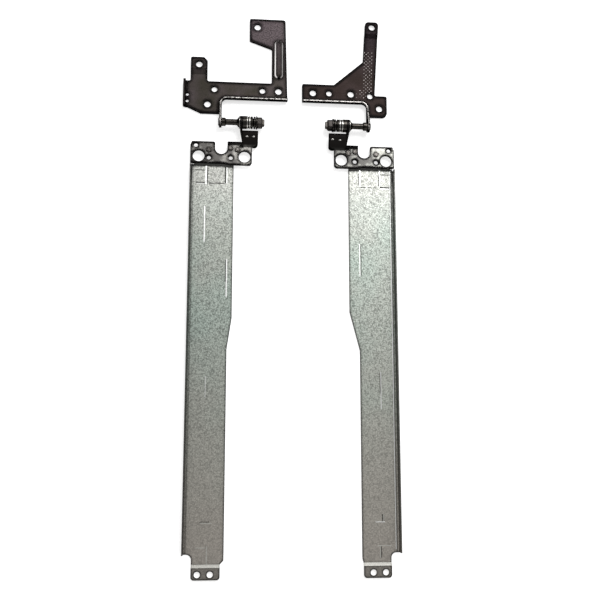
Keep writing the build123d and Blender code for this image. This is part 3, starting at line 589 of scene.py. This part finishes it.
# %% Finishes on the solids
PIECE_FINISH = {
    "shaft": "oil_blackened_steel",
    "inner_washer": "bright_hard_steel",
    "thrust_washer": "oil_blackened_steel",
    "first_friction_washer": "bright_hard_steel",
    "spacer_washer": "oil_blackened_steel",
    "second_friction_washer": "bright_hard_steel",
    "disc_springs": "hardened_spring_steel",
    "end_washer": "oil_blackened_steel",
    "lock_nut": "phosphated_steel",
    "lid_rivets": "nickelled_steel",
}
dressed = 0
for hinge in ("left", "right"):
    coats = {piece: barrel_steels[name] for piece, name in PIECE_FINISH.items()}
    coats |= {"base_bracket": platings[hinge], "lid_bracket": nickels[hinge], "rail": zinc}
    for piece, coat in coats.items():
        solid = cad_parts[f"{hinge}_{piece}"]
        solid.data.materials.clear()
        solid.data.materials.append(coat)
        dressed += 1
print("dressed:", dressed, "solids")

# %% [markdown]
# Small pressed details sit on the stampings, and each must rest on the metal under it. A ray cast
# straight down onto the solid finds that height, so no height is guessed. The details of one kind on one
# hinge are one object: its mesh is filled by bmesh operators, closed, and handed to the scene by one
# helper.

# %% Setting details on a solid
RAY_START = 50


def height_under(node, x_mm, y_mm):
    """Height of a solid's top at a place seen from above, in millimetres."""
    above = Vector((x_mm, y_mm, RAY_START)) * MM
    hit, point, _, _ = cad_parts[node].ray_cast(above, Vector((0, 0, -1)))
    assert hit, f"nothing of {node} lies under {x_mm}, {y_mm}"
    return point.z / MM


def add_piece(name, mesh, coats, body):
    """Object from a bmesh, dressed, riding on a body of the hinge."""
    bmesh.ops.recalc_face_normals(mesh, faces=mesh.faces)
    piece = bpy.data.objects.new(name, bpy.data.meshes.new(name))
    mesh.to_mesh(piece.data)
    mesh.free()
    for coat in coats:
        piece.data.materials.append(coat)
    scene.collection.objects.link(piece)
    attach(piece, body)
    print(name, "has", len(piece.data.polygons), "faces")


print("top of the left rail:", round(height_under("left_rail", -40, 0), 2), "mm")

# %% [markdown]
# The rails carry shallow pressed lines, most likely to show where tape and lid parts go. Some are painted
# bright as a highlight, some carry a dimmer painted highlight, and others are painted dark as shade. So the
# lines need three finishes of the same zinc, which a loop makes.

# %% Three finishes of the pressed lines
mark_coats = []
# Painted light: the first finish is a painted highlight, the second painted shade, the third a dimmer painted
# highlight.
for name, dark, pale, rough in (
    ("highlit_zinc", "E6E8E4", "FFFFFF", 0.36),
    ("shaded_zinc", "2A2A29", "454543", 0.5),
    ("dim_highlit_zinc", "B4B4AE", "D6D6D0", 0.42),
):
    coat, tree = start_material(name)
    place = add_node(tree, "ShaderNodeTexCoord")
    crystals = add_node(tree, "ShaderNodeTexNoise", {"Scale": per_metre(CRYSTAL), "Detail": 2.0},
                        {"Vector": place.outputs["Object"]})
    tint = add_node(tree, "ShaderNodeMix", {"data_type": "RGBA", 6: ink(dark), 7: ink(pale)},
                    {0: crystals.outputs[0]})
    metal = add_node(tree, "ShaderNodeBsdfPrincipled", {"Metallic": 1.0, "Roughness": rough},
                     {"Base Color": tint.outputs[2]})
    add_node(tree, "ShaderNodeOutputMaterial", {}, {"Surface": metal.outputs[0]})
    mark_coats.append(coat)
print("mark finishes:", [coat.name for coat in mark_coats])

# %% [markdown]
# Each line is a ridge a hair high: a cube is stretched along the line, sunk a little into the sheet, and
# its top edges are chamfered, so that its sides catch the lamp differently. The lines are placed as one
# would measure them, in from the rail's outer face and down from the shaft. The first of each list is a
# short filler, painted dark as shade, that closes the small notch in the rail's upper corner, where the bench
# would show through.

# %% Pressed marks on the rails
MARK_HEIGHT = 0.12
MARK_SINK = 0.05
RAIL_SHEET = 0.6
SHAFT_TO_RAIL_END = 213.1
HIGHLIT, SHADED, DIM_HIGHLIT = 0, 1, 2

# Each line: its finish, its width, then its two ends, each as in from the outer face and down from the shaft.
LEFT_LINES = [
    # The first line is a filler painted dark as shade.
    (SHADED, 1.1, (1.1, 21.0), (1.4, 21.0)),
    (HIGHLIT, 0.85, (7.7, 21.2), (7.7, 30.2)), (SHADED, 0.4, (8.5, 22.0), (8.5, 29.8)),
    (SHADED, 0.5, (17.0, 21.8), (17.0, 29.5)), (HIGHLIT, 0.6, (17.7, 21.8), (17.7, 29.5)),
    (SHADED, 0.4, (2.6, 23.3), (6.7, 23.3)), (SHADED, 0.5, (3.1, 29.5), (6.9, 29.5)),
    (HIGHLIT, 0.4, (3.5, 30.1), (6.7, 30.1)), (SHADED, 0.35, (9.2, 29.8), (16.5, 29.8)),
    (HIGHLIT, 0.75, (7.35, 41.6), (7.35, 58.4)), (HIGHLIT, 0.75, (18.15, 67.3), (18.15, 84.7)),
    (SHADED, 0.3, (17.6, 67.5), (17.6, 78.0)), (HIGHLIT, 0.4, (9.1, 122.7), (9.1, 132.0)),
    (SHADED, 0.3, (7.8, 188.0), (12.0, 188.0)), (DIM_HIGHLIT, 0.4, (8.0, 188.6), (12.9, 188.6)),
    (DIM_HIGHLIT, 0.35, (6.2, 199.3), (10.2, 199.3)), (DIM_HIGHLIT, 0.45, (11.05, 199.0), (11.05, 206.6)),
]
RIGHT_LINES = [
    # The first line is a filler painted dark as shade.
    (SHADED, 1.1, (1.1, 21.0), (1.4, 21.0)),
    (HIGHLIT, 0.8, (16.7, 21.2), (16.7, 29.2)), (SHADED, 0.3, (17.4, 23.0), (17.4, 28.8)),
    (HIGHLIT, 0.6, (6.95, 21.2), (6.95, 29.4)), (SHADED, 0.3, (7.5, 23.2), (7.5, 28.8)),
    (SHADED, 0.35, (16.2, 29.9), (14.0, 29.9)), (SHADED, 0.35, (12.6, 29.9), (11.2, 29.9)),
    (SHADED, 0.35, (10.3, 29.9), (8.7, 29.9)), (SHADED, 0.4, (6.5, 23.2), (2.3, 23.2)),
    (SHADED, 0.65, (6.7, 29.7), (2.4, 29.7)), (HIGHLIT, 0.5, (6.7, 30.4), (2.6, 30.4)),
    (HIGHLIT, 0.5, (17.2, 58.4), (17.2, 74.2)), (SHADED, 0.3, (16.6, 58.6), (16.6, 74.0)),
    (HIGHLIT, 0.45, (7.85, 120.2), (7.85, 137.0)), (SHADED, 0.3, (8.3, 120.6), (8.3, 130.0)),
    (HIGHLIT, 0.45, (11.1, 188.6), (7.2, 188.6)), (SHADED, 0.35, (8.1, 185.3), (8.1, 188.1)),
    (DIM_HIGHLIT, 0.4, (7.5, 185.3), (7.5, 188.2)), (DIM_HIGHLIT, 0.35, (10.4, 199.1), (4.2, 199.1)),
    (DIM_HIGHLIT, 0.4, (9.2, 199.4), (9.2, 204.4)), (SHADED, 0.3, (8.7, 199.6), (8.7, 204.2)),
    (HIGHLIT, 0.4, (1.9, 21.5), (1.9, 200.5)),
]


def press_marks(hinge, outer_side, lines):
    """Low ridges on a rail."""
    low, high = (Vector(corner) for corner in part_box(f"{hinge}_rail"))
    outer_x = low.x if outer_side < 0 else high.x
    shaft_y = low.y + SHAFT_TO_RAIL_END * MM
    ridges = bmesh.new()
    for finish, width, *ends in lines:
        start, end = (Vector((outer_x - outer_side * inset * MM, shaft_y - down * MM, 0))
                      for inset, down in ends)
        size = Vector((abs(end.x - start.x), abs(end.y - start.y), 0))
        size += Vector((width, width, MARK_HEIGHT + MARK_SINK)) * MM
        middle = (start + end) / 2
        middle.z = (RAIL_SHEET + (MARK_HEIGHT - MARK_SINK) / 2) * MM
        bar = bmesh.ops.create_cube(ridges, size=1)["verts"]
        bmesh.ops.scale(ridges, verts=bar, vec=size)
        bmesh.ops.translate(ridges, verts=bar, vec=middle)
        faces = {face for corner in bar for face in corner.link_faces}
        for face in faces:
            face.material_index = finish
        roof = {edge for face in faces for edge in face.edges if all(v.co.z > middle.z for v in edge.verts)}
        bmesh.ops.bevel(ridges, geom=list(roof), offset=MARK_HEIGHT * MM, affect="EDGES", segments=1,
                        profile=0.5, material=-1)
    add_piece(f"{hinge}_rail_marks", ridges, mark_coats, f"{hinge}_lid")


press_marks("left", -1, LEFT_LINES)
press_marks("right", 1, RIGHT_LINES)

# %% [markdown]
# The gusset of the right base bracket is roughened by a field of small punched pips in rows, most likely
# so that glue or tape grips it. One pip is half a flattened sphere, cut by a plane. It is copied to every
# place of the field, sunk a hair into the plate, and their tops are rubbed paler than the black plate.

# %% Pips on the right gusset
PIP_RADIUS = 0.36
PIP_HEIGHT = 0.14
PIP_SINK = 0.01
PIP_ROWS = 13
PIP_TOP_ROW = 40.1
PIP_PITCH = 1.84
# Columns: x at the top row, x at the last row, first row, number of rows. Neighbours are half a row apart.
PIP_COLUMNS = [(37.9, 37.2, 0, 14), (38.85, 38.2, 0.5, 13), (39.8, 39.2, 0, 13), (40.75, 40.0, 0.5, 12),
               (41.7, 40.8, 0, 12), (35.4, 35.4, 11, 3), (36.3, 36.3, 11.5, 2), (33.6, 33.6, 12, 2)]
SHAFT_Y = 78.35

rub_coat, tree = start_material("rubbed_black_plate")
place = add_node(tree, "ShaderNodeTexCoord")
patches = add_node(tree, "ShaderNodeTexNoise", {"Scale": per_metre(WEAR), "Detail": 2.0},
                   {"Vector": place.outputs["Object"]})
spread = add_node(tree, "ShaderNodeMapRange", {"From Min": 0.35, "From Max": 0.65},
                  {"Value": patches.outputs[0]})
tint = add_node(tree, "ShaderNodeMix", {"data_type": "RGBA", 6: ink("3A3433"), 7: ink("9C9694")},
                {0: spread.outputs[0]})
metal = add_node(tree, "ShaderNodeBsdfPrincipled", {"Metallic": 1.0, "Roughness": 0.4},
                 {"Base Color": tint.outputs[2]})
add_node(tree, "ShaderNodeOutputMaterial", {}, {"Surface": metal.outputs[0]})

pips = bmesh.new()
first = bmesh.ops.create_uvsphere(pips, u_segments=10, v_segments=6, radius=PIP_RADIUS * MM)["verts"]
bmesh.ops.scale(pips, verts=first, vec=(1, 1, PIP_HEIGHT / PIP_RADIUS))
bmesh.ops.bisect_plane(pips, geom=pips.verts[:] + pips.edges[:] + pips.faces[:], plane_co=(0, 0, 0),
                       plane_no=(0, 0, 1), clear_inner=True)
bmesh.ops.holes_fill(pips, edges=[edge for edge in pips.edges if edge.is_boundary])
pattern = pips.verts[:] + pips.edges[:] + pips.faces[:]
for top_x, last_x, first_row, rows in PIP_COLUMNS:
    for row in (first_row + step for step in range(rows)):
        x = top_x + (last_x - top_x) * row / PIP_ROWS
        y = SHAFT_Y + PIP_TOP_ROW - PIP_PITCH * row
        copy = bmesh.ops.duplicate(pips, geom=pattern)["geom"]
        corners = [item for item in copy if isinstance(item, bmesh.types.BMVert)]
        z = height_under("right_base_bracket", x, y) - PIP_SINK
        bmesh.ops.translate(pips, verts=corners, vec=Vector((x, y, z)) * MM)
spare = [item for item in pattern if isinstance(item, bmesh.types.BMVert)]
bmesh.ops.delete(pips, geom=spare, context="VERTS")
add_piece("right_gusset_pips", pips, [rub_coat], "bases")

# %% [markdown]
# Where the lid arm bends up to the shaft, the press leaves two short darts that stiffen the bend, painted
# bright with the washers' hard steel as a painted highlight. Each is a flattened sphere, drawn out to a small
# grain and sunk to half its height. The arm slopes there, so the height is taken on both sides of the dart,
# and the grain is leaned to match.

# %% Darts on the arms
DART_LENGTH = 1.7
DART_WIDTH = 0.8
DART_HEIGHT = 0.3
SLOPE_STEP = 0.4
RAIL_OUTER_X = {"left": -47.55, "right": 51.65}
# Places as in from the rail's outer face and down from the shaft.
DARTS = {"left": [(27.05, 7.1), (30.23, 7.1)], "right": [(26.8, 7.4), (30.5, 7.2)]}

for hinge, inward in (("left", 1), ("right", -1)):
    darts = bmesh.new()
    for inset, down in DARTS[hinge]:
        x, y = RAIL_OUTER_X[hinge] + inward * inset, SHAFT_Y - down
        low, high = (height_under(f"{hinge}_lid_bracket", x, y + step) for step in (-SLOPE_STEP, SLOPE_STEP))
        grain = bmesh.ops.create_uvsphere(darts, u_segments=14, v_segments=8, radius=0.5)["verts"]
        size = Vector((DART_LENGTH, DART_WIDTH, 2 * DART_HEIGHT)) * MM
        bmesh.ops.scale(darts, verts=grain, vec=size)
        lean = Matrix.Rotation(math.atan2(high - low, 2 * SLOPE_STEP), 4, "X")
        seat = Matrix.Translation(Vector((x, y, (low + high) / 2)) * MM)
        bmesh.ops.transform(darts, verts=grain, matrix=seat @ lean)
    # Painted highlight: the darts take the bright hard steel.
    add_piece(f"{hinge}_arm_darts", darts, [barrel_steels["bright_hard_steel"]], f"{hinge}_lid")
